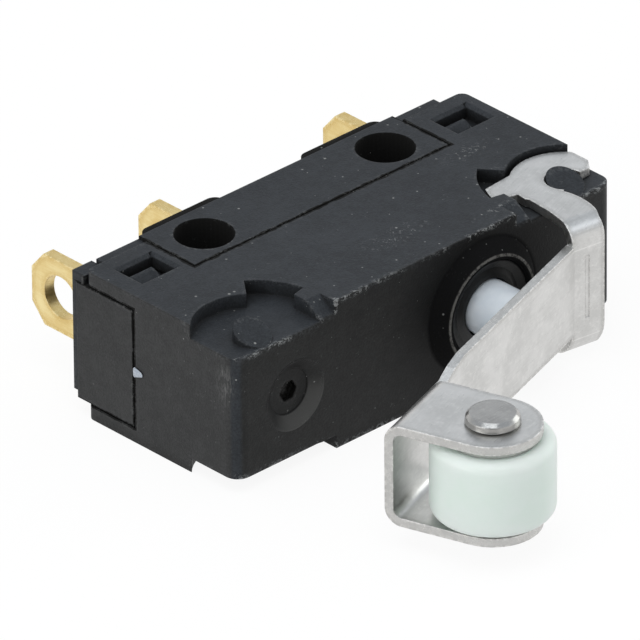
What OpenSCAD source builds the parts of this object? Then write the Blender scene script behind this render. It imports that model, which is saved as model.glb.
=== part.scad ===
// Sealed subminiature snap-action switch with a hinged roller lever.
// Lies on a broad side. The origin is midway between the two mounting holes, on
// the lower broad side: X runs along the case towards the lever pivot, +Y points
// to the terminals, -Y to the plunger, and Z is the thickness.

/* [Case] */
// Length of the case
case_len = 19.8; // [19:0.1:21]
// Thickness of the case, broad side to broad side
case_th = 6.4; // [6.2:0.1:6.8]
// Hole line to the plunger face
front_d = 7.2; // [7:0.1:7.6]
// Hole line to the rear edge of the case legs
leg_d = 1.1; // [1:0.05:1.2]
// Depth of the lever pockets in the broad sides
pocket_depth = 0.6; // [0.55:0.05:0.65]

/* [Mounting] */
// Distance between the two mounting holes
hole_pitch = 9.5; // [9.3:0.1:9.7]
// Diameter of the mounting holes
hole_d = 2.35; // [2.2:0.05:2.5]

/* [Plunger] */
// Plunger axis, measured from the middle of the hole pitch
plunger_x = 2.92; // [2.7:0.02:3.1]
// Diameter of the plunger pin
plunger_d = 2.26; // [2.1:0.02:2.3]
// Travel of the plunger
plunger_travel = 1.0; // [0.8:0.1:1]

/* [Terminals] */
// Width of a terminal
term_w = 3.1; // [2.9:0.1:3.2]
// Thickness of a terminal
term_t = 0.5; // [0.4:0.05:0.6]
// Diameter of the wire hole
eyelet_d = 1.8; // [1.4:0.1:1.8]
// Hole line to the end of a terminal
term_end = 5.95; // [5.5:0.05:6.5]

/* [Lever] */
// Sheet thickness of the lever
sheet = 0.36; // [0.3:0.02:0.4]
// Height of the lever arm
arm_h = 4.3; // [4.1:0.1:4.4]
// Angle of the free arm to the case
arm_angle = 18.8; // [18:0.2:20]
// Crease to the far end of the fork
arm_len = 15.05; // [14.8:0.05:15.3]

/* [Roller] */
// Diameter of the roller
roller_d = 4.8; // [4.4:0.1:4.9]
// Width of the roller
roller_w = 3.2; // [3:0.1:3.3]

/* [Hidden] */
$fn = 64;
eps = 0.05;
mid_z = case_th/2;
end_x = case_len/2;
gap = 0.09;                     // seam between case and base

// base
panel_x = 6.65;                 // half length of the panels that carry the holes
panel_y = -1.5;                 // front edge of the panels
flange_y = 1.6;                 // rear face of the base
rib_y = 1.9;                    // rear face of the bulges behind the holes
side_wall = 0.58;               // case leg thickness over the base
inner_x = 8.85;                 // half length of the base between the legs

// chamber for the contacts
chamber_x = 8.5;
chamber_front = -6.3;
chamber_z0 = 0.95;
chamber_z1 = case_th - chamber_z0;
ledge_y = -1.82;                // step in the case that the gasket is pressed on

// lever pivots and the pockets round them
pivot = [8.2, -6.3];
boss_r = 0.75;
pocket_r = 2.34;
notch_r = 3.38;
notch_a0 = 128;
notch_a1 = 168;
lever_r = 2.14;
finger_r = 3.14;

// plunger collar
collar_base_r = 2.82;
collar_rim_r = 2.26;
collar_y = -7.75;
seal_r = 1.95;
seal_back = -6.85;
tip_y = -9.72;
blade_y = -4.4;

// lever
hook_z = case_th - pocket_depth + 0.04;
crease = [5.78, -8.88];
bridge_angle = -8;
bridge_len = 1.5;
bridge_r = 0.78;                // outer radius of the bend into the upper hook
lower_bridge_r = 1.5;           // and into the lower hook
arm_z0 = mid_z - arm_h/2;
arm_z1 = mid_z + arm_h/2;
fork_w = 3.8;
fork_s = arm_len - fork_w/2 + 0.02;
fork_n = 3.58;
bend_r = 0.7;                   // outer radius of the bends of the fork

// contacts
blade_t = 0.16;
blade_w = 2.6;
blade_x0 = -7.6;
blade_x1 = 7.2;
contact_x = 6.2;
contact_r = 0.8;
contact_h = 0.35;
nc_y = -5.2;
no_y = -2.2;
term_x = [-8.2, -2.65, 7.1];    // faces of the common, NC and NO terminals

// box between two corners
module block(a, b) translate(a) cube(b - a);

// plan outline raised between two heights
module slab(z0, z1) translate([0, 0, z0]) linear_extrude(z1 - z0) children();

// outline in Y and Z, run along X
module bar(x0, x1) translate([x0, 0, 0]) rotate([90, 0, 90]) linear_extrude(x1 - x0) children();

// cylinder along Y between two stations
module pin_y(x, y0, y1, r0, r1)
    translate([x, y0, mid_z]) rotate([-90, 0, 0]) cylinder(h = y1 - y0, r1 = r0, r2 = r1);

// same thing at both broad sides
module both_sides() {
    children();
    translate([0, 0, case_th]) mirror([0, 0, 1]) children();
}

// same thing at both ends
module both_ends() {
    children();
    mirror([1, 0, 0]) children();
}

function polar(c, r, a) = c + r*[cos(a), sin(a)];
function arc(c, r, a0, a1, n) = [for (i = [0:n]) polar(c, r, a0 + (a1 - a0)*i/n)];

// ---- case -------------------------------------------------------------------

// outer form: box with rounded vertical corners
module case_form() {
    corner_r = 0.6;
    rear_r = 0.35;
    slab(0, case_th) union() {
        translate([-end_x + corner_r, -front_d]) square([case_len - 2*corner_r, front_d + leg_d - rear_r]);
        translate([-end_x, -front_d + corner_r]) square([case_len, front_d + leg_d - corner_r - rear_r]);
        translate([-end_x + rear_r, -front_d + corner_r])
            square([case_len - 2*rear_r, front_d + leg_d - corner_r]);
        for (sx = [-1, 1]) {
            translate([sx*(end_x - corner_r), -front_d + corner_r]) circle(corner_r);
            translate([sx*(end_x - rear_r), leg_d - rear_r]) circle(rear_r);
        }
    }
}

// recess in the upper broad side at the right end: round bay, notch and ramp
module pocket() {
    floor_z = case_th - pocket_depth;
    ramp_x0 = 4.75;
    ramp_y = -6.28;
    front = -front_d - 1;
    difference() {
        union() {
            translate([pivot.x, pivot.y, floor_z]) cylinder(h = 1, r = pocket_r);
            block([5.5, front, floor_z], [end_x + 1, pivot.y + 0.6, floor_z + 1]);
            block([pivot.x, pivot.y, floor_z], [end_x + 1, pivot.y + 1.6, floor_z + 1]);
            slab(floor_z, floor_z + 1)
                polygon(concat([pivot], arc(pivot, notch_r, notch_a0, notch_a1, 10)));
        }
        // boss, its top sloped towards the front so that a hook can be pushed over it
        intersection() {
            translate([pivot.x, pivot.y, floor_z - 1]) cylinder(h = 3, r = boss_r);
            bar(pivot.x - 1, pivot.x + 1) polygon([[pivot.y + 1, floor_z - 1], [pivot.y + 1, case_th],
                [pivot.y + boss_r, case_th], [pivot.y - boss_r, floor_z], [pivot.y - 1, floor_z - 1]]);
        }
    }
    bar(ramp_x0, 5.6) polygon([[ramp_y, case_th + eps], [front, case_th + eps],
        [front, floor_z - 0.25], [-front_d, floor_z + 0.03]]);
}

// window that the latch of the base springs into, with a bevelled rim
module latch_window(x0, x1) {
    y0 = -1.17;
    y1 = 0.26;
    rim = 0.16;
    block([x0, y0, case_th - side_wall - eps], [x1, y1, case_th + 1]);
    bar(x0, x1)
        polygon([[y1 - eps, case_th - rim], [y1 + rim + eps, case_th + eps], [y1 - eps, case_th + eps]]);
    translate([x1, 0, 0]) rotate([90, 0, 0]) translate([0, 0, -y1 - rim]) linear_extrude(y1 - y0 + rim)
        polygon([[-eps, case_th - rim], [rim + eps, case_th + eps], [-eps, case_th + eps]]);
}

// dished injection point on the plunger face
module gate_dish() {
    x = -6.86;
    pin_y(x, -front_d - eps, -front_d + 0.36, 1.5, 0.96);
    pin_y(x, -front_d, -front_d + 0.4, 0.96, 0.96);
    translate([x, -front_d, mid_z]) rotate([-90, 0, 0]) cylinder(h = 0.66, r = 0.44, $fn = 6);
}

module case() {
    color([0.16, 0.17, 0.18]) difference() {
        union() {
            case_form();
            pin_y(plunger_x, collar_y, -front_d + eps, collar_rim_r, collar_base_r);
        }
        both_sides() both_ends() pocket();
        both_sides() latch_window(-9.05, -7.22);
        both_sides() latch_window(7.48, 9.3);
        // room for the base and its gasket
        block([-inner_x, ledge_y, side_wall], [inner_x, leg_d + 1, case_th - side_wall]);
        block([-panel_x - gap, panel_y - gap, -1], [panel_x + gap, leg_d + 1, case_th + 1]);
        block([-end_x - 1, panel_y - gap, side_wall], [-inner_x + 1, leg_d + 1, case_th - side_wall]);
        // contact chamber
        block([-chamber_x, chamber_front, chamber_z0], [chamber_x, ledge_y + 1, chamber_z1]);
        // seal seat, dished rim and plunger guide
        pin_y(plunger_x, collar_y - eps, collar_y + 0.12, 2.1, 2.0);
        pin_y(plunger_x, collar_y, seal_back, seal_r, seal_r);
        pin_y(plunger_x, seal_back - eps, chamber_front + eps, plunger_d/2 + 0.05, plunger_d/2 + 0.05);
        gate_dish();
    }
}

// ---- base -------------------------------------------------------------------

// bulge behind a mounting hole
module hole_rib(x0, x1, round_r) {
    slab(0.02, case_th - 0.02) union() {
        translate([x0, 0]) square([x1 - x0, rib_y - round_r]);
        translate([x0 + round_r, 0]) square([x1 - x0 - 2*round_r, rib_y]);
        translate([x0 + round_r, rib_y - round_r]) circle(round_r);
        translate([x1 - round_r, rib_y - round_r]) circle(round_r);
    }
}

// snap latch, a wedge that stands in a window of the case
module latch(x0, x1) {
    top = case_th - side_wall - gap;
    bar(x0, x1) polygon([[-1.08, top - eps], [-0.12, top - eps], [-0.12, top + 0.42],
        [-0.3, top + 0.42], [-1.08, top]]);
}

module base() {
    in_z = side_wall + gap;
    strip_y = 1.3;              // the end face steps back a little behind this line
    color([0.15, 0.155, 0.165]) difference() {
        union() {
            block([-panel_x, panel_y, 0], [panel_x, flange_y, case_th]);
            block([-inner_x + gap, panel_y, in_z], [inner_x - gap, flange_y, case_th - in_z]);
            block([-end_x, panel_y, in_z], [-inner_x, flange_y, case_th - in_z]);
            block([-inner_x, leg_d + gap, 0.2], [inner_x, flange_y, case_th - 0.12]);
            block([-end_x, leg_d + gap, 0.94], [-inner_x, strip_y, case_th - 0.3]);
            block([-end_x + 0.05, strip_y - eps, 0.94], [-inner_x, rib_y - 0.04, case_th - 0.3]);
            hole_rib(-6.45, -2.37, 0.45);
            hole_rib(1.85, 6.05, 0.45);
            both_sides() latch(-8.9, -7.62);
            both_sides() latch(7.7, 8.75);
        }
        for (sx = [-1, 1])
            translate([sx*hole_pitch/2, 0, -1]) cylinder(h = case_th + 2, d = hole_d);
        // slots that the terminals are pressed through, each with a sealing well
        for (x = term_x) {
            block([x, -3, mid_z - term_w/2], [x + term_t, 3, mid_z + term_w/2]);
            block([x - 0.45, flange_y - 0.5, mid_z - term_w/2 - 0.4],
                [x + term_t + 0.45, 3, mid_z + term_w/2 + 0.4]);
        }
    }
}

module case_gasket() {
    rim = 0.38;
    y0 = ledge_y + 0.01;
    y1 = panel_y - 0.01;
    z0 = side_wall + 0.02;
    color([0.22, 0.22, 0.23]) difference() {
        block([-inner_x + 0.02, y0, z0], [inner_x - 0.02, y1, case_th - z0]);
        block([-inner_x + rim, y0 - 1, z0 + rim], [inner_x - rim, y1 + 1, case_th - z0 - rim]);
    }
}

// ---- terminals and contacts ---------------------------------------------------

// blade of a terminal from its outer end to a station inside, with a wire hole
module terminal_plate(x, y_in) {
    chamfer_y = 0.68;
    chamfer_z = 0.8;
    zt = mid_z + term_w/2;
    zb = mid_z - term_w/2;
    difference() {
        bar(x, x + term_t) polygon([[y_in, zb], [term_end - chamfer_y, zb], [term_end, zb + chamfer_z],
            [term_end, zt - chamfer_z], [term_end - chamfer_y, zt], [y_in, zt]]);
        translate([x - 1, 4.35, mid_z]) rotate([0, 90, 0]) cylinder(h = term_t + 2, d = eyelet_d);
    }
}

gold = [0.87, 0.72, 0.42];

// common terminal: its inner end is the knife edge that the blade tilts on
module terminal_common() {
    color(gold) {
        difference() {
            terminal_plate(term_x[0], blade_y - 0.6);
            // notch that the root of the blade sits in
            block([term_x[0] + 0.25, blade_y - 0.2, mid_z - blade_w/2 - 0.1],
                [term_x[0] + 1, blade_y + 0.2, mid_z + blade_w/2 + 0.1]);
        }
        // folded foot with the post for the snap spring
        block([term_x[0] + term_t - eps, -2.75, mid_z - 0.7], [-4.6, -2.35, mid_z + 0.7]);
        block([-5.0, -3.3, mid_z - 0.7], [-4.6, -2.35, mid_z + 0.7]);
    }
}

// closed-side terminal: the strip runs below the blade and comes back in front of it
module terminal_nc() {
    strip_z0 = 1.0;
    strip_z1 = 1.55;
    foot_y = -2.35;
    far_x = 8.35;
    color(gold) {
        terminal_plate(term_x[1], foot_y);
        block([term_x[1], foot_y, strip_z0], [far_x, foot_y + 0.4, strip_z1]);
        block([term_x[1], foot_y, strip_z0], [term_x[1] + term_t, foot_y + 0.4, mid_z]);
        block([far_x - 0.4, nc_y - 0.4, strip_z0], [far_x, foot_y + 0.4, strip_z1]);
        block([contact_x - 1.1, nc_y - 0.4, strip_z0], [far_x, nc_y, mid_z + 1.1]);
    }
}

// open-side terminal, folded under the moving contact
module terminal_no() {
    color(gold) {
        terminal_plate(term_x[2], no_y);
        block([contact_x - 1.0, no_y, mid_z - term_w/2 + 0.1],
            [term_x[2] + eps, no_y + 0.4, mid_z + term_w/2]);
    }
}

// bead of resin in the well round a terminal
module terminal_seal(x) {
    color([0.2, 0.2, 0.21]) difference() {
        block([x - 0.44, flange_y - 0.49, mid_z - term_w/2 - 0.39],
            [x + term_t + 0.44, flange_y - 0.06, mid_z + term_w/2 + 0.39]);
        block([x, 0, mid_z - term_w/2], [x + term_t, 3, mid_z + term_w/2]);
    }
}

module terminal_seal_common() terminal_seal(term_x[0]);
module terminal_seal_nc() terminal_seal(term_x[1]);
module terminal_seal_no() terminal_seal(term_x[2]);

// contact button with a flat crown
module contact_button(y0, y1) {
    crown = 0.1;
    s = y1 > y0 ? 1 : -1;
    color([0.82, 0.8, 0.74]) translate([contact_x, y0, mid_z]) rotate([-90*s, 0, 0]) rotate_extrude()
        polygon([[0, 0], [contact_r, 0], [contact_r, contact_h - crown],
            [contact_r - 0.2, contact_h], [0, contact_h]]);
}

module contact_nc() contact_button(nc_y, 0);
module contact_no() contact_button(no_y, -9);

// blade: a stamped leaf with a long window for the snap spring
module moving_blade() {
    root_r = 0.12;
    color([0.72, 0.52, 0.34]) difference() {
        union() {
            block([blade_x0, blade_y - blade_t/2, mid_z - blade_w/2],
                [blade_x1, blade_y + blade_t/2, mid_z + blade_w/2]);
            translate([blade_x0, blade_y, mid_z - blade_w/2]) cylinder(h = blade_w, r = root_r);
        }
        block([-6.2, blade_y - 1, mid_z - 0.8], [0.6, blade_y + 1, mid_z + 0.8]);
        translate([contact_x, blade_y - 1, mid_z]) rotate([-90, 0, 0]) cylinder(h = 2, r = 0.45);
        for (s = [-1, 1])
            bar(blade_x1 - 0.5, blade_x1 + 1)
                polygon([[blade_y - 1, mid_z + s*1.5], [blade_y + 1, mid_z + s*1.5],
                    [blade_y + 1, mid_z + s*1.05], [blade_y - 1, mid_z + s*1.05]]);
    }
}

// double-headed rivet at the free end of the blade
module moving_contact() {
    color([0.82, 0.8, 0.74]) translate([contact_x, blade_y, mid_z]) rotate([-90, 0, 0]) rotate_extrude()
        polygon([[0, -blade_t/2 - contact_h], [0.6, -blade_t/2 - contact_h], [contact_r, -blade_t/2 - 0.25],
            [contact_r, -blade_t/2], [0.45, -blade_t/2], [0.45, blade_t/2], [contact_r, blade_t/2],
            [contact_r, blade_t/2 + 0.25], [0.6, blade_t/2 + contact_h], [0, blade_t/2 + contact_h]]);
}

// bow of spring sheet between the post and the blade
module snap_spring() {
    t = 0.14;
    from = [-4.5, -3.05];
    to = [0.5, blade_y + 0.05];
    bow = 3.0;
    span = norm(to - from);
    tilt = atan2(to.y - from.y, to.x - from.x);
    half = asin(span/2/bow);
    c = (from + to)/2 + sqrt(bow*bow - span*span/4)*[-sin(tilt), cos(tilt)];
    root_r = 0.1;
    color([0.74, 0.72, 0.68]) slab(mid_z - 0.6, mid_z + 0.6) union() {
        polygon(concat(
            arc(c, bow, tilt - 90 - half, tilt - 90 + half, 24),
            arc(c, bow - t, tilt - 90 + half, tilt - 90 - half, 24)));
        translate(from) circle(root_r);
    }
}

// ---- plunger ------------------------------------------------------------------

module plunger() {
    r = plunger_d/2;
    dome_r = 1.5;
    dome = dome_r - sqrt(dome_r*dome_r - (r - 0.12)*(r - 0.12));
    // distances from the tip, towards the contacts
    flange0 = -6.24 - tip_y;
    tail = blade_y - blade_t/2 - 0.06 - tip_y;
    a_edge = asin((r - 0.12)/dome_r);
    crown = [for (i = [0:8]) [dome_r*sin(a_edge*i/8), dome_r - dome_r*cos(a_edge*i/8)]];
    color([0.86, 0.9, 0.94]) translate([plunger_x, tip_y, mid_z]) rotate([-90, 0, 0]) rotate_extrude()
        polygon(concat(crown, [[r, dome + 0.12], [r, flange0], [1.55, flange0], [1.55, flange0 + 0.6],
            [0.7, flange0 + 0.75], [0.7, tail - 0.2], [0.3, tail], [0, tail]]));
}

// rubber ring in the collar, dished towards the pin
module plunger_seal() {
    r_in = plunger_d/2 + 0.05;
    color([0.25, 0.26, 0.27]) translate([plunger_x, collar_y, mid_z]) rotate([-90, 0, 0]) rotate_extrude()
        polygon([[seal_r - 0.01, 0.14], [1.6, 0.3], [1.38, 0.22], [r_in + 0.04, 0.2], [r_in, 0.26],
            [r_in, 0.6], [1.5, 0.88], [seal_r - 0.01, 0.88]]);
}

// ---- lever --------------------------------------------------------------------

// carries its children to the bridge's own frame: X along the bridge, Y towards the case
module on_bridge() translate([crease.x, crease.y, 0]) rotate([0, 0, bridge_angle]) children();

// carries its children to the arm's own frame: X along the arm, Y outwards
module on_arm() translate([crease.x, crease.y, 0]) rotate([0, 0, 180 + arm_angle]) children();

// sheet bent into a channel, as an outline in Y and Z: the web lies on Y = 0 and
// the flanges reach towards +Y; the outer radius may differ at the two bends
module channel(z0, z1, r0, r1, reach) {
    difference() {
        channel_form(z0, z1, r0, r1, reach);
        translate([sheet, 0]) channel_form(z0 + sheet, z1 - sheet, r0 - sheet, r1 - sheet, reach);
    }
}

module channel_form(z0, z1, r0, r1, reach) {
    translate([0, z0 + r0]) square([reach, z1 - z0 - r0 - r1]);
    translate([r0, z0]) square([reach - r0, r0 + 0.1]);
    translate([r1, z1 - r1 - 0.1]) square([reach - r1, r1 + 0.1]);
    translate([r0, z0 + r0]) circle(r0);
    translate([r1, z1 - r1]) circle(r1);
}

// plan outline of the hooks and the bridge between them
module hook_outline() {
    finger_a0 = 150;
    finger_a1 = 166.6;
    along = [cos(bridge_angle), sin(bridge_angle)];
    out = [along.y, -along.x];
    leg_c = [4.9, -7.72];       // centre of the curved right edge of the leg
    play = 0.06;
    difference() {
        union() {
            intersection() {
                translate(pivot) circle(lever_r);
                polygon([[5.9, -6.0], [6.5, -7.2], [pivot.x, pivot.y - 0.35],
                    [9.5, pivot.y], [9.86, -5.85], [9.86, -4.0], [5.9, -4.0]]);
            }
            polygon(concat([[7.0, -4.6]], arc(pivot, finger_r, finger_a0, finger_a1, 3),
                [[6.17, -5.9], [7.0, -6.0]]));
            polygon(concat([[7.3, -5.8], [6.17, -5.9], [6.05, -7.6], [5.93, -8.3], crease, crease + 2*out,
                crease + 2*out + bridge_len*along], arc(leg_c, 2.74, -29.9, 22.8, 10)));
        }
        translate(pivot) circle(boss_r + play);
        // mouth of the hook
        polygon([pivot + [0.1, 0], pivot + [0.1, -1.5], [10.5, pivot.y - 1.5],
            [10.5, pivot.y], [9.3, pivot.y + 0.02]]);
    }
}

// both hooks and the bridge, bent from one strip, with a scored line on the bridge
module hooks() {
    score_x = 0.62;
    score_w = 0.17;
    score_depth = 0.03;
    difference() {
        intersection() {
            slab(0, case_th) hook_outline();
            on_bridge() translate([0, -sheet, 0])
                bar(-3, 6) channel(case_th - hook_z - sheet, hook_z + sheet, lower_bridge_r, bridge_r, 7);
        }
        on_bridge() block([score_x, -1, 2.1], [score_x + score_w, score_depth - sheet, 4.8]);
    }
}

// the arm as seen from the front: it narrows to a neck before the fork
module arm() {
    low = 1.46;
    neck_s = 9.2;
    neck_z = 4.9;
    s0 = fork_s - fork_w/2;
    translate([0, sheet, 0]) rotate([90, 0, 0]) linear_extrude(sheet)
        polygon([[0, low], [s0, low], [s0, neck_z], [neck_s + 1.45, neck_z], [neck_s + 0.8, arm_z1 - 0.17],
            [neck_s, arm_z1], [0, arm_z1]]);
}

// fork at the end of the arm: a web with two cheeks that stand out from the case
module fork() {
    s0 = fork_s - fork_w/2;
    tenon_hole_r = 0.82;
    difference() {
        intersection() {
            slab(0, case_th) union() {
                translate([s0, -1]) square([fork_w, fork_n + 1]);
                translate([fork_s, fork_n]) circle(fork_w/2);
            }
            bar(s0 - 1, arm_len + 1) channel(arm_z0, arm_z1, bend_r, bend_r, 8);
        }
        translate([fork_s, fork_n, 0]) cylinder(h = case_th, r = tenon_hole_r);
    }
}

module lever() {
    color([0.8, 0.79, 0.77]) union() {
        hooks();
        on_arm() {
            arm();
            fork();
        }
    }
}

pin_at = crease - fork_s*[cos(arm_angle), sin(arm_angle)] + fork_n*[sin(arm_angle), -cos(arm_angle)];

// shouldered pin, riveted over both cheeks
module roller_pin() {
    body_r = 1.3;
    tenon_r = 0.8;
    shoulder_r = 1.8;
    shoulder = 0.16;
    slack = 0.01;
    head_r = 1.07;
    head = 0.46;
    widest = 0.09;              // height of the head's widest ring over the cheek
    h = arm_h/2;
    inner = h - sheet - slack;
    upper = [[body_r, inner - shoulder], [shoulder_r, inner - shoulder],
        [shoulder_r, inner], [tenon_r, inner], [tenon_r, h + slack], [head_r - 0.1, h + slack],
        [head_r, h + widest], [head_r - 0.04, h + head - 0.15], [head_r - 0.18, h + head],
        [0, h + head]];
    lower = [for (i = [len(upper) - 1:-1:0]) [upper[i].x, -upper[i].y]];
    color([0.78, 0.76, 0.73]) translate([pin_at.x, pin_at.y, mid_z])
        rotate_extrude() polygon(concat(upper, lower));
}

// moulded roller with rounded edges
module roller() {
    edge = 0.4;
    bore = 1.38;
    h = roller_w/2;
    r = roller_d/2;
    color([0.8, 0.87, 0.83]) translate([pin_at.x, pin_at.y, mid_z]) rotate_extrude()
        polygon(concat([[bore, -h]], arc([r - edge, edge - h], edge, -90, 0, 5),
            arc([r - edge, h - edge], edge, 0, 90, 5), [[bore, h]]));
}

// smear of cured sealant on the seam of the end wall
module seam_sealant() {
    color([0.7, 0.76, 0.78]) intersection() {
        union() {
            translate([-end_x + 0.14, -1.66, 3.02]) sphere(r = 0.3);
            translate([-end_x + 0.12, -1.92, 3.12]) sphere(r = 0.25);
            translate([-end_x + 0.1, -1.6, 3.28]) sphere(r = 0.2);
        }
        block([-end_x - 1, -3, 0], [-end_x, 0, case_th]);
    }
}

case();
base();
case_gasket();
terminal_common();
terminal_nc();
terminal_no();
terminal_seal_common();
terminal_seal_nc();
terminal_seal_no();
contact_nc();
contact_no();
moving_blade();
moving_contact();
snap_spring();
plunger();
plunger_seal();
lever();
roller();
roller_pin();
seam_sealant();
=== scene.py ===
import math

import bpy
from mathutils import Matrix, Vector


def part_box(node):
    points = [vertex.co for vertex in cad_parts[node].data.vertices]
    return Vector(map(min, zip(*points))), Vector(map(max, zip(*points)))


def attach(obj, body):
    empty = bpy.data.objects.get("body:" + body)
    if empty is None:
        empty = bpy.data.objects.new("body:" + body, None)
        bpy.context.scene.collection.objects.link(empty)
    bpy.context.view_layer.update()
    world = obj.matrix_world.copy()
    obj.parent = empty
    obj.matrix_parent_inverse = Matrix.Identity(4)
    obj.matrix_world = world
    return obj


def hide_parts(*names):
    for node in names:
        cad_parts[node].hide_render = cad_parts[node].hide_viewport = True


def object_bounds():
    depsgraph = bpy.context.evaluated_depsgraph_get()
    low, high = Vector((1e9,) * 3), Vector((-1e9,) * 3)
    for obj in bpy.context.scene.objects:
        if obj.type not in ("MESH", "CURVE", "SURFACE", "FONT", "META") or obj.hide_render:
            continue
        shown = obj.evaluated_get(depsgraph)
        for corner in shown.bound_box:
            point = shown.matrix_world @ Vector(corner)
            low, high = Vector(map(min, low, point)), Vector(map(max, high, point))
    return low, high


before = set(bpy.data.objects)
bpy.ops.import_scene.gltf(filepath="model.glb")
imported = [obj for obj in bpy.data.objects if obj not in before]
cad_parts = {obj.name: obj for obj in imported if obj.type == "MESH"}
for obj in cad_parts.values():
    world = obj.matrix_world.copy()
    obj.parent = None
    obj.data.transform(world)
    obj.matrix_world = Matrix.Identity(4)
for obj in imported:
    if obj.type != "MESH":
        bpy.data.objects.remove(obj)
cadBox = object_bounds()
bpy.ops.object.select_all(action="DESELECT")
mm = 0.001

camera = {
    "aim": (-1.2068, -2.5945, 2.2661),     # mm
    "azimuth": -43.347,
    "elevation": 29.944,
    "roll": -0.485,
    "distance": 640.0,                     # mm
    "lens": 946.877,
    "sensor": 36.0,
    "clip": (0.05, 5.0),                   # m
}


def makeCamera():
    azimuth, elevation = math.radians(camera["azimuth"]), math.radians(camera["elevation"])
    back = Vector((math.sin(azimuth) * math.cos(elevation), -math.cos(azimuth) * math.cos(elevation),
                   math.sin(elevation)))
    data = bpy.data.cameras.new("camera")
    data.lens = camera["lens"]
    data.sensor_width = camera["sensor"]
    data.clip_start, data.clip_end = camera["clip"]
    eye = bpy.data.objects.new("camera", data)
    bpy.context.scene.collection.objects.link(eye)
    eye.rotation_mode = "QUATERNION"
    eye.location = Vector(camera["aim"]) * mm + back * camera["distance"] * mm
    turn = back.to_track_quat("Z", "Y").to_matrix().to_4x4() @ Matrix.Rotation(math.radians(camera["roll"]), 4, "Z")
    eye.rotation_quaternion = turn.to_quaternion()
    bpy.context.scene.camera = eye


makeCamera()
print("camera done")


# small helpers for wiring nodes
class Wires:
    def __init__(self, tree):
        self.tree = tree
        self.column = 0

    def add(self, kind, **settings):
        node = self.tree.nodes.new("ShaderNode" + kind)
        self.column += 1
        node.location = (180 * (self.column % 12), -220 * (self.column // 12))
        for name, value in settings.items():
            setattr(node, name, value)
        return node

    def feed(self, socket, value):
        if isinstance(value, bpy.types.NodeSocket):
            self.tree.links.new(value, socket)
        else:
            socket.default_value = value

    def math(self, operation, a, b=0.0, c=None):
        node = self.add("Math", operation=operation)
        self.feed(node.inputs[0], a)
        self.feed(node.inputs[1], b)
        if c is not None:
            self.feed(node.inputs[2], c)
        return node.outputs[0]

    def product(self, first, *others):
        for other in others:
            first = self.math("MULTIPLY", first, other)
        return first

    # how far a value is from a fixed one
    def gap(self, value, fixed):
        return self.math("ABSOLUTE", self.math("SUBTRACT", value, fixed))

    def vector(self, operation, a, b=(0.0, 0.0, 0.0)):
        node = self.add("VectorMath", operation=operation)
        self.feed(node.inputs[0], a)
        self.feed(node.inputs[1], b)
        return node.outputs["Value"] if operation in ("LENGTH", "DOT_PRODUCT") else node.outputs["Vector"]

    def length(self, x, y, z):
        return self.vector("LENGTH", self.join(x, y, z))

    def ramp(self, value, low, high, toLow=0.0, toHigh=1.0):
        node = self.add("MapRange", interpolation_type="SMOOTHSTEP")
        for name, x in (("Value", value), ("From Min", low), ("From Max", high), ("To Min", toLow), ("To Max", toHigh)):
            self.feed(node.inputs[name], x)
        return node.outputs["Result"]

    def noise(self, place, scale, detail=2.0, rough=0.5, warp=0.0):
        node = self.add("TexNoise")
        for name, x in (("Vector", place), ("Scale", scale), ("Detail", detail), ("Roughness", rough),
                        ("Distortion", warp)):
            self.feed(node.inputs[name], x)
        return node.outputs["Fac"]

    def mix(self, share, a, b):
        node = self.add("Mix", data_type="RGBA")
        self.feed(node.inputs["Factor"], share)
        self.feed(node.inputs["A"], a)
        self.feed(node.inputs["B"], b)
        return node.outputs["Result"]

    def split(self, vector):
        node = self.add("SeparateXYZ")
        self.feed(node.inputs[0], vector)
        return node.outputs

    def join(self, x, y, z):
        node = self.add("CombineXYZ")
        for socket, value in zip(node.inputs, (x, y, z)):
            self.feed(socket, value)
        return node.outputs[0]

    def group(self, tree, **inputs):
        node = self.add("Group", node_tree=tree)
        for name, value in inputs.items():
            self.feed(node.inputs[name], value)
        return node.outputs


def newGroup(name, inputs, outputs):
    tree = bpy.data.node_groups.new(name, "ShaderNodeTree")
    for label, kind, value in inputs:
        socket = tree.interface.new_socket(label, in_out="INPUT", socket_type="NodeSocket" + kind)
        socket.default_value = value
    for label, kind in outputs:
        tree.interface.new_socket(label, in_out="OUTPUT", socket_type="NodeSocket" + kind)
    wires = Wires(tree)
    start = tree.nodes.new("NodeGroupInput")
    end = tree.nodes.new("NodeGroupOutput")
    return tree, wires, start.outputs, end.inputs


# place in millimetres, so that every scale below is a count per millimetre
def makePlaceMm():
    tree, w, start, end = newGroup("placeMm", [("Metres", "Vector", (0.0, 0.0, 0.0))], [("Place", "Vector")])
    scaled = w.vector("MULTIPLY", start["Metres"], (1000.0, 1000.0, 1000.0))
    w.feed(end["Place"], scaled)
    return tree


# noises are scale, detail, roughness and warp; masks are where they start and where they are full
eroded = {
    "fine": (11.0, 3.0, 0.65), "cloud": (0.3, 3.0, 0.55, 0.3), "blotch": (2.4, 3.0, 0.6),
    "fineShare": 0.5, "blotchShare": 0.25, "cloudShare": 0.25,
    "cells": 4.0, "crowd": (0.40, 0.68, 0.15, 1.8),
    "dotGrowth": 0.22, "dotLeast": 0.08, "dotCore": 0.4, "dotFaint": 0.2,
    "hairs": (5.0, 4.0, 0.7, 1.2), "hairMask": (0.60, 0.72),
    "hairPatches": (0.8, 2.0, 0.5), "hairPatchMask": (0.52, 0.68),
}


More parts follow.
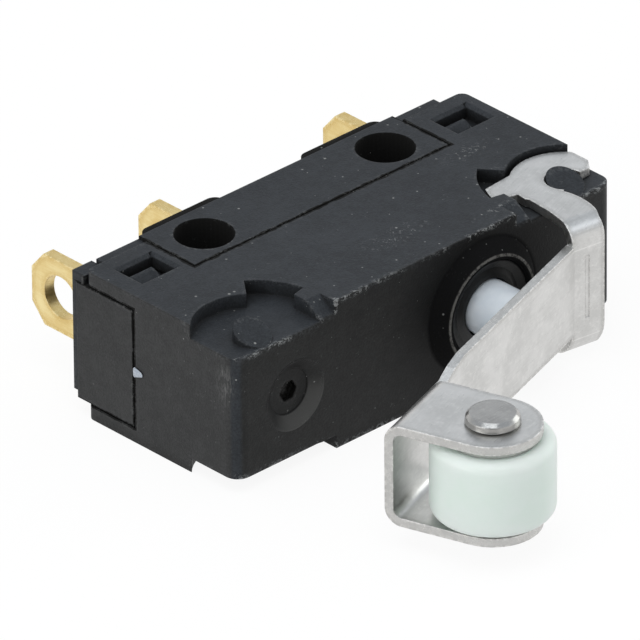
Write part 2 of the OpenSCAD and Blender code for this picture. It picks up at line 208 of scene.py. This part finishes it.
# spark-eroded moulding grain with a soft cloudy tone, fine pale dust and short hair-like rub marks
def makeMouldGrain():
    tree, w, start, end = newGroup(
        "mouldGrain",
        [("Place", "Vector", (0.0, 0.0, 0.0)), ("Dust", "Float", 0.2)],
        [("Tone", "Float"), ("Height", "Float"), ("Specks", "Float"), ("Rub", "Float")])
    place = start["Place"]
    fine = w.noise(place, *eroded["fine"])
    cloud = w.noise(place, *eroded["cloud"])
    blotch = w.noise(w.vector("ADD", place, (7.1, 3.3, 9.7)), *eroded["blotch"])
    tone = w.math("MULTIPLY_ADD", blotch, eroded["blotchShare"], w.product(cloud, eroded["cloudShare"]))
    w.feed(end["Tone"], w.math("MULTIPLY_ADD", fine, eroded["fineShare"], tone))
    w.feed(end["Height"], fine)
    # specks: cells whose own random value is low, drawn as small dots, more of them where the blotches are high
    cells = w.add("TexVoronoi", feature="F1")
    w.feed(cells.inputs["Vector"], place)
    w.feed(cells.inputs["Scale"], eroded["cells"])
    lucky = w.split(cells.outputs["Color"])
    size = w.math("MULTIPLY_ADD", w.math("POWER", lucky[1], 3.0), eroded["dotGrowth"], eroded["dotLeast"])
    dot = w.ramp(cells.outputs["Distance"], size, w.product(size, eroded["dotCore"]))
    chosen = w.math("LESS_THAN", lucky[0], w.product(start["Dust"], w.ramp(blotch, *eroded["crowd"])))
    bright = w.math("MULTIPLY_ADD", lucky[2], 1.0 - eroded["dotFaint"], eroded["dotFaint"])
    w.feed(end["Specks"], w.product(dot, chosen, bright))
    hairs = w.noise(w.vector("MULTIPLY", place, (1.0, 1.7, 1.0)), *eroded["hairs"])
    patches = w.noise(w.vector("ADD", place, (2.7, 8.8, 1.4)), *eroded["hairPatches"])
    w.feed(end["Rub"], w.product(w.ramp(hairs, *eroded["hairMask"]), w.ramp(patches, *eroded["hairPatchMask"])))
    return tree


rolling = {
    "lines": (2.2, 3.0, 0.55), "linesDrawn": (0.6, 9.0, 9.0),
    "scratches": (3.1, 2.0, 0.4, 0.25), "scratchesDrawn": (0.45, 12.0, 6.0), "scratchMask": (0.66, 0.74),
    "cloud": (0.7, 3.0, 0.6), "pits": (14.0, 2.0, 0.6),
    "toneLines": 0.3, "roughLines": 0.65, "heightLines": 0.5,   # the rest is cloud or pits
}


# rolled sheet: fine lines along one direction, with scattered scratches
def makeRolledSheet():
    tree, w, start, end = newGroup(
        "rolledSheet",
        [("Place", "Vector", (0.0, 0.0, 0.0)), ("Turn", "Float", 0.0)],
        [("Tone", "Float"), ("Rough", "Float"), ("Height", "Float"), ("Scratch", "Float")])
    turned = w.add("VectorRotate", rotation_type="Z_AXIS")
    w.feed(turned.inputs["Vector"], start["Place"])
    w.feed(turned.inputs["Angle"], start["Turn"])
    along = turned.outputs["Vector"]
    lines = w.noise(w.vector("MULTIPLY", along, rolling["linesDrawn"]), *rolling["lines"])
    cloud = w.noise(along, *rolling["cloud"])
    pits = w.noise(along, *rolling["pits"])
    for name, other, share in (("Tone", cloud, rolling["toneLines"]), ("Rough", pits, rolling["roughLines"]),
                               ("Height", pits, rolling["heightLines"])):
        w.feed(end[name], w.math("MULTIPLY_ADD", lines, share, w.product(other, 1.0 - share)))
    scratches = w.noise(w.vector("MULTIPLY", along, rolling["scratchesDrawn"]), *rolling["scratches"])
    w.feed(end["Scratch"], w.ramp(scratches, *rolling["scratchMask"]))
    return tree


placeMm = makePlaceMm()
mouldGrain = makeMouldGrain()
rolledSheet = makeRolledSheet()
print("node groups done")


def newMaterial(name):
    material = bpy.data.materials.new(name)
    material.use_nodes = True
    w = Wires(material.node_tree)
    shader = material.node_tree.nodes["Principled BSDF"]
    coords = w.add("TexCoord").outputs["Object"]
    place = w.group(placeMm, Metres=coords)["Place"]
    return material, w, shader.inputs, place


# grain over a softened edge: distance of the bump and radius of the edge in metres
def bump(w, shader, height, distance, strength, radius):
    soft = w.add("Bevel", samples=4)
    w.feed(soft.inputs["Radius"], radius)
    node = w.add("Bump")
    for name, x in (("Strength", strength), ("Distance", distance), ("Height", height),
                    ("Normal", soft.outputs["Normal"])):
        w.feed(node.inputs[name], x)
    w.feed(shader["Normal"], node.outputs["Normal"])


# how open a point is; inside=True looks through the material, so that outer edges come out low
def openness(w, reach, inside=False):
    node = w.add("AmbientOcclusion", inside=inside, only_local=inside, samples=6)
    w.feed(node.inputs["Distance"], reach)
    return node.outputs["AO"]


middle = (Vector(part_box("plunger")[0]) + Vector(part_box("plunger")[1])) / (2 * mm)
# places and reaches are in mm, edge in m; quiet: from where on y the wear is full
# bulge: where the dark strips start on y, none on the case; seam: x, y, height from the middle and offset
# the plastics' dark and light colours are tinted blue as painted cool light from above; the front and end-wall copies
# leave the tint out
mouldedBlack = {
    "case": {"dark": (0.0245, 0.0272, 0.0310, 1), "light": (0.0385, 0.0430, 0.0490, 1), "dust": 0.30,
             "edge": 0.00030, "chips": 1.0, "quiet": (-6.85, -7.02), "bulge": 9.0, "seam": (6.74, -1.59, 2.62, 0.03)},
    "base": {"dark": (0.0235, 0.0262, 0.0300, 1), "light": (0.0370, 0.0412, 0.0470, 1), "dust": 0.20,
             "edge": 0.00022, "chips": 0.2, "quiet": (1.0, 0.9), "bulge": 1.62, "seam": (6.65, -1.50, 2.53, -0.01)},
    "tone": (0.38, 0.62),
    "ragged": (5.5, 4.0, 0.75),            # noise that breaks up the wear
    "rough": 0.50, "roughGrain": 0.18, "roughDull": 0.4,
    "shine": 0.12,
    "grain": 0.00003, "grainStrength": 0.5, "softEdge": 0.00008,   # m
    # black also darkens the hollows as painted shade
    "black": (0.0095, 0.0093, 0.0088, 1),  # bores, bulges behind them, ragged seam, hollows, hexagon
}
# painted shade: a darker, neutral copy of the plastic for the front face
shadedFront = {"dark": (0.0190, 0.0192, 0.0190, 1), "light": (0.0300, 0.0302, 0.0300, 1), "face": (-7.08, -7.17)}
# painted light: a lighter, neutral copy of the plastic for the end wall
litEndWall = {"dark": (0.0320, 0.0325, 0.0330, 1), "light": (0.0490, 0.0497, 0.0503, 1), "face": (-9.82, -9.88)}
wear = {
    # edge colour that is partly wear and partly painted highlight on the convex edges
    "edgeWearAndHighlight": (0.062, 0.066, 0.072, 1), "wornEdge": (0.97, 0.60), "wornRagged": (0.36, 0.66), "wornShare": 0.55,
    "wornRough": -0.10,
    "chip": (0.27, 0.28, 0.28, 1), "chipEdge": (0.82, 0.60), "chipRagged": (0.50, 0.58),
    "patches": (0.9, 2.0, 0.5), "patchMask": (0.40, 0.56), "quietShare": 0.12,
    "hollow": (0.80, 0.30), "hollowReach": 0.0010, "hollowShare": 0.85,
    "speck": (0.40, 0.41, 0.40, 1), "speckShare": 0.8,
    "rubbed": [(0.3, -5.2, 2.4, 0.8), (6.7, -2.4, 1.7, 0.7), (4.6, -6.4, 2.0, 0.5)],  # x, y and reaches, on the top
    "top": 6.4, "topDepth": 0.25, "rubbedSoft": (1.0, 0.1),
    "flecks": (5.0, 4.0, 0.75, 0.8), "fleckMask": (0.57, 0.63), "rubShare": 0.35, "fleckShare": 0.6,
    "scuff": (0.120, 0.121, 0.120, 1), "scuffPlace": (-9.86, -6.52, 4.6), "scuffReach": (0.6, 0.6, 1.15),
    "scuffSoft": (1.0, 0.3),
    "streaks": (2.2, 4.0, 0.7), "streaksDrawn": (5.0, 5.0, 1.3), "streakMask": (0.44, 0.66),
}
# colour is painted shade on the collar, face is where painted shade darkens the front towards it, rim is a painted
# highlight along the collar's edge
collar = {
    "colour": (0.0035, 0.0035, 0.0037, 1), "face": (5.6, 2.8, 0.0, 0.75), "reach": (2.95, 2.75), "clean": (2.9, 3.1),
    "rim": (0.17, 0.165, 0.155, 1), "rimRadius": 2.21, "rimWidth": (0.08, 0.03), "rimRagged": (0.36, 0.54, 0.25, 1.0),
}
dish = {
    "x": -6.86, "rim": (1.52, 1.48), "depth": (-6.2, -6.4), "cone": (0.96, 1.0), "hexagon": (0.47, 0.43),
    "lean": (0.5, -0.87),                  # where the lit side lies: along x and z
    "lit": (0.075, 0.075, 0.073, 1), "litShare": (0.1, 0.9),
    "shade": (0.010, 0.010, 0.010, 1), "shadeShare": (0.0, -0.8, 0.0, 0.8),
    "gloss": -0.35,                        # change of roughness inside the hexagon
}
seam = {"noise": (1.7, 3.0, 0.6), "fray": (0.36, 0.64, 0.0, 0.055), "soft": 0.035, "end": (9.8, 9.7), "thinner": 1.6}
bore = {"x": 4.75, "reach": (1.20, 1.17), "bulgeSoft": 0.03, "bulgeTop": (3.02, 3.15)}


# dark ragged line between case and base, on the broad sides and on the end walls, and the dark bores and bulges
def dullPlaces(w, look, place, x, y, height):
    seamX, seamY, seamZ, side = look["seam"]
    sideways = w.math("ABSOLUTE", x)
    forward = w.math("SUBTRACT", seamY, y)
    broad = w.gap(w.math("MAXIMUM", w.math("SUBTRACT", sideways, seamX), forward), side)
    end = w.gap(w.math("MAXIMUM", w.math("SUBTRACT", height, seamZ), forward), side)
    end = w.math("MULTIPLY_ADD", end, seam["thinner"], w.ramp(sideways, *seam["end"]))
    fray = w.ramp(w.noise(place, *seam["noise"]), *seam["fray"])
    line = w.ramp(w.math("MINIMUM", broad, end), w.math("ADD", fray, seam["soft"]), fray)
    hole = w.ramp(w.length(w.math("SUBTRACT", sideways, bore["x"]), y, 0.0), *bore["reach"])
    behind = w.ramp(y, look["bulge"] - bore["bulgeSoft"], look["bulge"] + bore["bulgeSoft"])
    bulge = w.product(behind, w.ramp(height, *bore["bulgeTop"]))
    return w.math("MAXIMUM", w.math("MAXIMUM", line, hole), bulge)


# upright streaks in a soft oval on the corner
def scuffMask(w, place):
    away = w.vector("SUBTRACT", place, wear["scuffPlace"])
    away = w.vector("MULTIPLY", away, tuple(1 / reach for reach in wear["scuffReach"]))
    streaks = w.noise(w.vector("MULTIPLY", place, wear["streaksDrawn"]), *wear["streaks"])
    return w.product(w.ramp(w.vector("LENGTH", away), *wear["scuffSoft"]), w.ramp(streaks, *wear["streakMask"]))


# pale flecks in rubbed patches on the top
def fleckMask(w, place):
    rubbed = 0.0
    for patchX, patchY, reachX, reachY in wear["rubbed"]:
        away = w.vector("SUBTRACT", place, (patchX, patchY, wear["top"]))
        away = w.vector("MULTIPLY", away, (1 / reachX, 1 / reachY, 1 / wear["topDepth"]))
        rubbed = w.math("MAXIMUM", w.ramp(w.vector("LENGTH", away), *wear["rubbedSoft"]), rubbed)
    return w.product(w.ramp(w.noise(place, *wear["flecks"]), *wear["fleckMask"]), rubbed)


def mouldedPlastic(name, look):
    material, w, shader, place = newMaterial(name)
    black = mouldedBlack
    grain = w.group(mouldGrain, Place=place, Dust=look["dust"])
    x, y, z = w.split(place)
    height = w.gap(z, middle.z)
    reach = w.vector("LENGTH", w.vector("SUBTRACT", w.join(x, middle.y, z), tuple(middle)))
    ragged = w.noise(place, *black["ragged"])

    # moulding tone; painted shade makes the front a darker copy of it and painted light makes the end wall a lighter
    # copy
    across, up = w.math("SUBTRACT", x, dish["x"]), w.math("SUBTRACT", z, middle.z)
    away = w.length(across, 0.0, up)
    inDish = w.product(w.ramp(away, *dish["rim"]), w.ramp(y, *dish["depth"]))
    ahead = w.math("MAXIMUM", w.ramp(y, *shadedFront["face"]), inDish)
    tone = w.ramp(grain["Tone"], *black["tone"])
    colour = w.mix(tone, look["dark"], look["light"])
    colour = w.mix(ahead, colour, w.mix(tone, shadedFront["dark"], shadedFront["light"]))
    colour = w.mix(w.ramp(x, *litEndWall["face"]), colour, w.mix(tone, litEndWall["dark"], litEndWall["light"]))

    # edges lightened partly by wear and partly as painted highlight, and painted shade in the hollows
    edge = openness(w, look["edge"], inside=True)
    calm = w.product(w.ramp(y, *look["quiet"], wear["quietShare"], look["chips"]), w.ramp(reach, *collar["clean"]))
    edgeWearAndHighlight = w.product(w.ramp(edge, *wear["wornEdge"]), w.ramp(ragged, *wear["wornRagged"]), calm)
    colour = w.mix(w.product(edgeWearAndHighlight, wear["wornShare"]), colour, wear["edgeWearAndHighlight"])
    # painted shade: hollows darken towards black where they are closed in
    hollow = w.ramp(openness(w, wear["hollowReach"]), *wear["hollow"])
    colour = w.mix(w.product(hollow, wear["hollowShare"]), colour, black["black"])

    # collar round the plunger in near-black painted shade, with a thin painted highlight on its rim; painted shade also
    # darkens the front face towards it
    colour = w.mix(w.product(ahead, w.ramp(reach, *collar["face"])), colour, collar["colour"])
    inCollar = w.product(ahead, w.ramp(reach, *collar["reach"]))
    colour = w.mix(inCollar, colour, collar["colour"])
    rim = w.ramp(w.gap(reach, collar["rimRadius"]), *collar["rimWidth"])
    rim = w.product(rim, ahead, w.ramp(ragged, *collar["rimRagged"]))
    colour = w.mix(rim, colour, collar["rim"])

    # injection point: the cone is lit low on the right and shaded above, the hexagon is glossy and dark
    leanX, leanZ = dish["lean"]
    lean = w.math("DIVIDE", w.math("MULTIPLY_ADD", across, leanX, w.product(up, leanZ)), away)
    cone = w.product(inDish, w.ramp(away, *dish["cone"]))
    colour = w.mix(w.product(cone, w.ramp(lean, *dish["litShare"])), colour, dish["lit"])
    colour = w.mix(w.product(cone, w.ramp(lean, *dish["shadeShare"])), colour, dish["shade"])
    hexagon = w.product(inDish, w.ramp(away, *dish["hexagon"]))
    colour = w.mix(hexagon, colour, black["black"])
    dull = dullPlaces(w, look, place, x, y, height)
    colour = w.mix(dull, colour, black["black"])

    # scuff, rub marks, chips and dust
    colour = w.mix(scuffMask(w, place), colour, wear["scuff"])
    rub = w.math("MAXIMUM", w.product(grain["Rub"], wear["rubShare"]), fleckMask(w, place))
    colour = w.mix(w.product(rub, wear["fleckShare"]), colour, wear["chip"])
    patches = w.noise(w.vector("ADD", place, (4.4, 1.9, 6.1)), *wear["patches"])
    patches = w.ramp(patches, *wear["patchMask"])
    chips = w.product(w.ramp(edge, *wear["chipEdge"]), w.ramp(ragged, *wear["chipRagged"]), patches, calm)
    colour = w.mix(chips, colour, wear["chip"])
    colour = w.mix(w.product(grain["Specks"], wear["speckShare"]), colour, wear["speck"])
    w.feed(shader["Base Color"], colour)

    rough = w.math("MULTIPLY_ADD", grain["Height"], black["roughGrain"], black["rough"] - black["roughGrain"] / 2)
    rough = w.math("MULTIPLY_ADD", edgeWearAndHighlight, wear["wornRough"], rough)
    rough = w.math("MULTIPLY_ADD", w.math("MAXIMUM", dull, inCollar), black["roughDull"], rough)
    w.feed(shader["Roughness"], w.math("MULTIPLY_ADD", hexagon, dish["gloss"], rough))
    shader["Specular IOR Level"].default_value = black["shine"]
    bump(w, shader, grain["Height"], black["grain"], black["grainStrength"], black["softEdge"])
    return material


# what a plain finish has where its own entry is silent: cloud and grain are scales, deep and depth are in m
plainUsual = {
    "cloud": 1.2, "cloudNoise": (4.0, 0.6, 0.3), "tone": (0.3, 0.7),
    "grain": 12.0, "grainNoise": (3.0, 0.6), "grainStrength": 0.5, "depth": 0.00001,
    "roughGrain": 0.2, "shine": 0.5, "glow": 0.0, "deep": 0.0006,
}


def plainFinish(name, look):
    look = plainUsual | look
    material, w, shader, place = newMaterial(name)
    cloud = w.noise(place, look["cloud"], *look["cloudNoise"])
    grain = w.noise(place, look["grain"], *look["grainNoise"])
    w.feed(shader["Base Color"], w.mix(w.ramp(cloud, *look["tone"]), look["dark"], look["light"]))
    rough = w.math("MULTIPLY_ADD", grain, look["roughGrain"], look["rough"] - look["roughGrain"] / 2)
    w.feed(shader["Roughness"], rough)
    shader["Specular IOR Level"].default_value = look["shine"]
    shader["Subsurface Weight"].default_value = look["glow"]
    shader["Subsurface Radius"].default_value = (1.0, 1.0, 1.0)
    shader["Subsurface Scale"].default_value = look["deep"]
    bump(w, shader, grain, look["depth"], look["grainStrength"], look["edge"])
    return material


sheet = {
    "tone": (0.38, 0.62), "scratchShare": 0.3, "roughLines": 0.3,
    "mottle": (5.0, 4.0, 0.7), "mottleMask": (0.50, 0.70, 0.0, 0.32), "ragged": (5.0, 3.0, 0.6),
    "cutEdge": (0.86, 0.70), "cutRagged": (0.35, 0.65, 0.55, 1.0), "cutRough": 0.15,
    "burrAndHighlightEdge": (0.66, 0.54), "burrAndHighlightRagged": (0.42, 0.56),
    "foldX": (5.4, 5.7), "foldY": (-7.4, -7.6),        # mm, where the lever is folded
    "lines": 0.000006, "linesStrength": 0.45,          # m
}


# painted shade and painted highlight in bands along the fold of the lever: distance from the middle plane, half width,
# share and tone of each
def foldShadeAndHighlightBands(w, look, place, colour):
    x, y, z = w.split(place)
    folded = w.product(w.ramp(x, *sheet["foldX"]), w.ramp(y, *sheet["foldY"]))
    height = w.gap(z, middle.z)
    for line, half, share, tone in look["folds"]:
        band = w.ramp(w.gap(height, line), half, 0.0, 0.0, share)
        colour = w.mix(w.product(band, folded), colour, look[tone])
    return colour


def sheetMetal(name, look):
    material, w, shader, place = newMaterial(name)
    rolled = w.group(rolledSheet, Place=place, Turn=math.radians(look["turn"]))
    colour = w.mix(w.ramp(rolled["Tone"], *sheet["tone"]), look["dark"], look["light"])
    colour = w.mix(w.ramp(w.noise(place, *sheet["mottle"]), *sheet["mottleMask"]), colour, look["scratch"])
    colour = w.mix(w.product(rolled["Scratch"], sheet["scratchShare"]), colour, look["scratch"])
    if "folds" in look:
        colour = foldShadeAndHighlightBands(w, look, place, colour)
    # cut edges are greyer than the rolled faces, with a bright line along their corners that is partly burr and partly
    # painted highlight
    edge = openness(w, look["burrAndHighlight"], inside=True)
    ragged = w.noise(place, *sheet["ragged"])
    cut = w.product(w.ramp(edge, *sheet["cutEdge"]), w.ramp(ragged, *sheet["cutRagged"]))
    colour = w.mix(cut, colour, look["cut"])
    burrAndHighlight = w.product(w.ramp(edge, *sheet["burrAndHighlightEdge"]), w.ramp(ragged, *sheet["burrAndHighlightRagged"]))
    colour = w.mix(burrAndHighlight, colour, look["scratch"])
    w.feed(shader["Base Color"], colour)
    shader["Metallic"].default_value = 1.0
    rough = w.math("MULTIPLY_ADD", rolled["Rough"], sheet["roughLines"], look["rough"] - sheet["roughLines"] / 2)
    w.feed(shader["Roughness"], w.math("MULTIPLY_ADD", cut, sheet["cutRough"], rough))
    bump(w, shader, rolled["Height"], sheet["lines"], sheet["linesStrength"], look["edge"])
    return material


# turn in degrees; edge, the reach of the edge mask for cut edges, burrs and painted highlight, deep and depth in m;
# folds in mm
finishes = {
    "gold": {"turn": 90.0, "dark": (0.76, 0.58, 0.25, 1), "light": (0.87, 0.73, 0.38, 1),
             "scratch": (0.93, 0.80, 0.46, 1), "cut": (0.62, 0.43, 0.14, 1), "rough": 0.34, "edge": 0.00004,
             "burrAndHighlight": 0.0004},
    "stainless": {"turn": -18.8, "dark": (0.550, 0.547, 0.535, 1), "light": (0.650, 0.645, 0.633, 1),
                  "scratch": (0.82, 0.81, 0.79, 1), "cut": (0.41, 0.405, 0.39, 1), "rough": 0.32, "edge": 0.00005,
                  # the bright colour here is a painted highlight for the fold bands
                  "burrAndHighlight": 0.0003, "pressed": (0.97, 0.96, 0.94, 1),
                  # bands of painted shade in the cut-edge colour and of painted highlight in the bright colour, along
                  # the upper bend
                  "folds": [(2.965, 0.05, 0.35, "cut"), (2.79, 0.12, 0.8, "pressed"), (2.60, 0.07, 0.35, "cut"),
                            (1.97, 0.05, 0.3, "pressed")]},
    "pinSteel": {"turn": 0.0, "dark": (0.34, 0.335, 0.325, 1), "light": (0.42, 0.415, 0.40, 1),
                 "scratch": (0.56, 0.55, 0.53, 1), "cut": (0.50, 0.49, 0.47, 1), "rough": 0.22, "edge": 0.00007,
                 "burrAndHighlight": 0.00006},
    "contactSilver": {"turn": 0.0, "dark": (0.66, 0.65, 0.62, 1), "light": (0.8, 0.79, 0.76, 1),
                      "scratch": (0.9, 0.9, 0.88, 1), "cut": (0.6, 0.59, 0.56, 1), "rough": 0.3, "edge": 0.00004,
                      "burrAndHighlight": 0.00005},
    "springCopper": {"turn": 0.0, "dark": (0.52, 0.30, 0.17, 1), "light": (0.68, 0.42, 0.26, 1),
                     "scratch": (0.8, 0.6, 0.42, 1), "cut": (0.45, 0.25, 0.14, 1), "rough": 0.35, "edge": 0.00002,
                     "burrAndHighlight": 0.0001},
    "springSteel": {"turn": 0.0, "dark": (0.48, 0.47, 0.45, 1), "light": (0.62, 0.61, 0.59, 1),
                    "scratch": (0.76, 0.75, 0.73, 1), "cut": (0.4, 0.39, 0.37, 1), "rough": 0.3, "edge": 0.00002,
                    "burrAndHighlight": 0.0001},
    "roller": {"dark": (0.785, 0.99, 0.835, 1), "light": (0.815, 1.0, 0.865, 1), "rough": 0.38, "glow": 0.9,
               "deep": 0.0014, "cloud": 0.7, "depth": 0.000004, "edge": 0.00012},
    "plunger": {"dark": (0.66, 0.72, 0.78, 1), "light": (0.73, 0.78, 0.83, 1), "rough": 0.34, "glow": 0.35,
                "depth": 0.000006, "edge": 0.00008},
    "rubber": {"dark": (0.005, 0.005, 0.005, 1), "light": (0.011, 0.011, 0.011, 1), "rough": 0.42,
               "shine": 0.3, "depth": 0.00002, "edge": 0.00005},
    "resin": {"dark": (0.012, 0.012, 0.013, 1), "light": (0.022, 0.022, 0.024, 1), "rough": 0.2,
              "depth": 0.00004, "grain": 1.5, "edge": 0.00008},
    "sealant": {"dark": (0.31, 0.37, 0.45, 1), "light": (0.52, 0.57, 0.65, 1), "rough": 0.35, "glow": 0.3,
                "depth": 0.00002, "grain": 6.0, "edge": 0.00004},
}

casePlastic = mouldedPlastic("casePlastic", mouldedBlack["case"])
basePlastic = mouldedPlastic("basePlastic", mouldedBlack["base"])
metals = {name: sheetMetal(name, finishes[name])
          for name in ("gold", "stainless", "pinSteel", "contactSilver", "springCopper", "springSteel")}
plains = {name: plainFinish(name, finishes[name]) for name in ("roller", "plunger", "rubber", "resin", "sealant")}

coat = {
    "case": casePlastic, "base": basePlastic, "case_gasket": plains["rubber"], "plunger_seal": plains["rubber"],
    "terminal_common": metals["gold"], "terminal_nc": metals["gold"], "terminal_no": metals["gold"],
    "terminal_seal_common": plains["resin"], "terminal_seal_nc": plains["resin"], "terminal_seal_no": plains["resin"],
    "contact_nc": metals["contactSilver"], "contact_no": metals["contactSilver"],
    "moving_contact": metals["contactSilver"], "moving_blade": metals["springCopper"],
    "snap_spring": metals["springSteel"], "plunger": plains["plunger"], "lever": metals["stainless"],
    "roller": plains["roller"], "roller_pin": metals["pinSteel"], "seam_sealant": plains["sealant"],
}
for name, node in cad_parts.items():
    for slot in node.material_slots:
        slot.material = coat[name]
print("materials done")

# smear of sealant on the seam of the end wall: an uneven flake with a soft edge
smear = {
    "outline": [(-1.47, 3.33), (-1.58, 3.42), (-1.80, 3.34), (-2.05, 3.30), (-2.20, 3.15), (-2.13, 3.01),
                (-1.83, 2.95), (-1.60, 2.81), (-1.47, 2.85)],   # mm, y and z on the wall
    "wall": -9.91,                                              # mm, x
    "rise": 0.10,
    "crown": 0.62,                                              # how much the top is drawn in
}


def makeSmear():
    bpy.ops.mesh.primitive_circle_add(vertices=len(smear["outline"]), radius=mm, fill_type="NGON")
    piece = bpy.context.object
    piece.name = "sealantSmear"
    for vertex, (y, z) in zip(piece.data.vertices, smear["outline"]):
        vertex.co = (smear["wall"] * mm, y * mm, z * mm)
    bpy.ops.object.mode_set(mode="EDIT")
    bpy.ops.mesh.select_all(action="SELECT")
    bpy.ops.mesh.extrude_region_move(TRANSFORM_OT_translate={"value": (-smear["rise"] * mm, 0, 0)})
    bpy.ops.transform.resize(value=(1, smear["crown"], smear["crown"]))
    bpy.ops.mesh.select_all(action="SELECT")
    bpy.ops.mesh.normals_make_consistent(inside=False)
    bpy.ops.object.mode_set(mode="OBJECT")
    rounding = piece.modifiers.new("rounding", "SUBSURF")
    rounding.levels = rounding.render_levels = 3
    bpy.ops.object.modifier_apply(modifier=rounding.name)
    bpy.ops.object.shade_smooth()
    piece.data.materials.append(plains["sealant"])
    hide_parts("seam_sealant")
    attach(piece, "housing")
    piece.select_set(False)


makeSmear()
print("sealant done")

stage = {
    "floorHalf": 0.6, "floorDrop": 0.00002,   # m
    "floor": (0.80, 0.80, 0.80, 1),        # what light bounces off
    "floorRough": 0.9,
    "seenGlow": 1.008,                     # level of the seen floor with its share of light
    "seenFloor": 0.10,                     # share of the seen floor that takes the shadow
    "lamps": [  # name, place, aim, size, watts, colour
        ("keyLamp", (-0.10, -0.06, 0.42), (0.0, 0.0, 0.0), 0.34, 0.78, (0.94, 0.97, 1.0)),
        ("leftLamp", (-0.38, 0.02, 0.14), (0.0, 0.0, 0.0), 0.24, 0.32, (1.0, 1.0, 0.98)),
        ("rightLamp", (0.35, -0.12, 0.08), (0.0, -0.01, 0.0), 0.24, 0.28, (0.97, 1.0, 0.98)),
    ],
    "world": 0.53,
    "overhead": (0.70, 0.745, 0.80, 1),    # what shiny things see high up
    "high": (0.10, 0.75),                  # height of the direction, up to 1
    "gap": (-0.65, -0.69, 0.32),           # direction of the dark gap between the soft boxes
    "gapReach": (0.90, 0.965),             # cosines where the gap starts and is full
    "gapLevel": 0.22,
}


# rays that end in the picture: straight ones with mirrored ones, and mirrored ones alone
def pictureRays(w):
    rays = w.add("LightPath").outputs
    mirrored = w.math("MAXIMUM", rays["Is Glossy Ray"], rays["Is Transmission Ray"])
    return w.math("MAXIMUM", rays["Is Camera Ray"], mirrored), mirrored


def makeFloor():
    bpy.ops.mesh.primitive_plane_add(size=2 * stage["floorHalf"], location=(0, 0, cadBox[0].z - stage["floorDrop"]))
    floor = bpy.context.object
    floor.name = "floor"
    material = bpy.data.materials.new("floorPaper")
    material.use_nodes = True
    w = Wires(material.node_tree)
    shader = material.node_tree.nodes["Principled BSDF"].inputs
    seen = pictureRays(w)[0]
    share = stage["seenFloor"]
    w.feed(shader["Base Color"], w.mix(seen, stage["floor"], (share, share, share, 1)))
    shader["Roughness"].default_value = stage["floorRough"]
    shader["Specular IOR Level"].default_value = 0.0
    shader["Emission Color"].default_value = (1.0, 1.0, 1.0, 1)
    w.feed(shader["Emission Strength"], w.product(seen, stage["seenGlow"] - share))
    floor.data.materials.append(material)


def makeLamps():
    for name, place, aim, size, watts, colour in stage["lamps"]:
        data = bpy.data.lights.new(name, "AREA")
        data.shape = "SQUARE"
        data.size = size
        data.energy = watts
        data.color = colour
        lamp = bpy.data.objects.new(name, data)
        bpy.context.scene.collection.objects.link(lamp)
        lamp.location = place
        lamp.rotation_euler = (Vector(place) - Vector(aim)).to_track_quat("Z", "Y").to_euler()


def makeSky():
    world = bpy.data.worlds.new("studio")
    bpy.context.scene.world = world
    world.use_nodes = True
    w = Wires(world.node_tree)
    sky = world.node_tree.nodes["Background"]
    seen, mirrored = pictureRays(w)
    direction = w.add("TexCoord").outputs["Generated"]
    towardsGap = w.vector("DOT_PRODUCT", direction, tuple(Vector(stage["gap"]).normalized()))
    high = w.ramp(w.split(direction)[2], *stage["high"])
    tint = w.mix(w.product(high, mirrored), (1.0, 1.0, 1.0, 1), stage["overhead"])
    w.feed(sky.inputs["Color"], tint)
    gap = w.ramp(towardsGap, *stage["gapReach"], 1.0, stage["gapLevel"])
    level = w.ramp(seen, 0.0, 1.0, stage["world"], 1.0)
    w.feed(sky.inputs["Strength"], w.math("MULTIPLY", level, w.ramp(mirrored, 0.0, 1.0, 1.0, gap)))


makeFloor()
makeLamps()
makeSky()
bpy.context.scene.view_settings.view_transform = "Standard"
print("stage done")
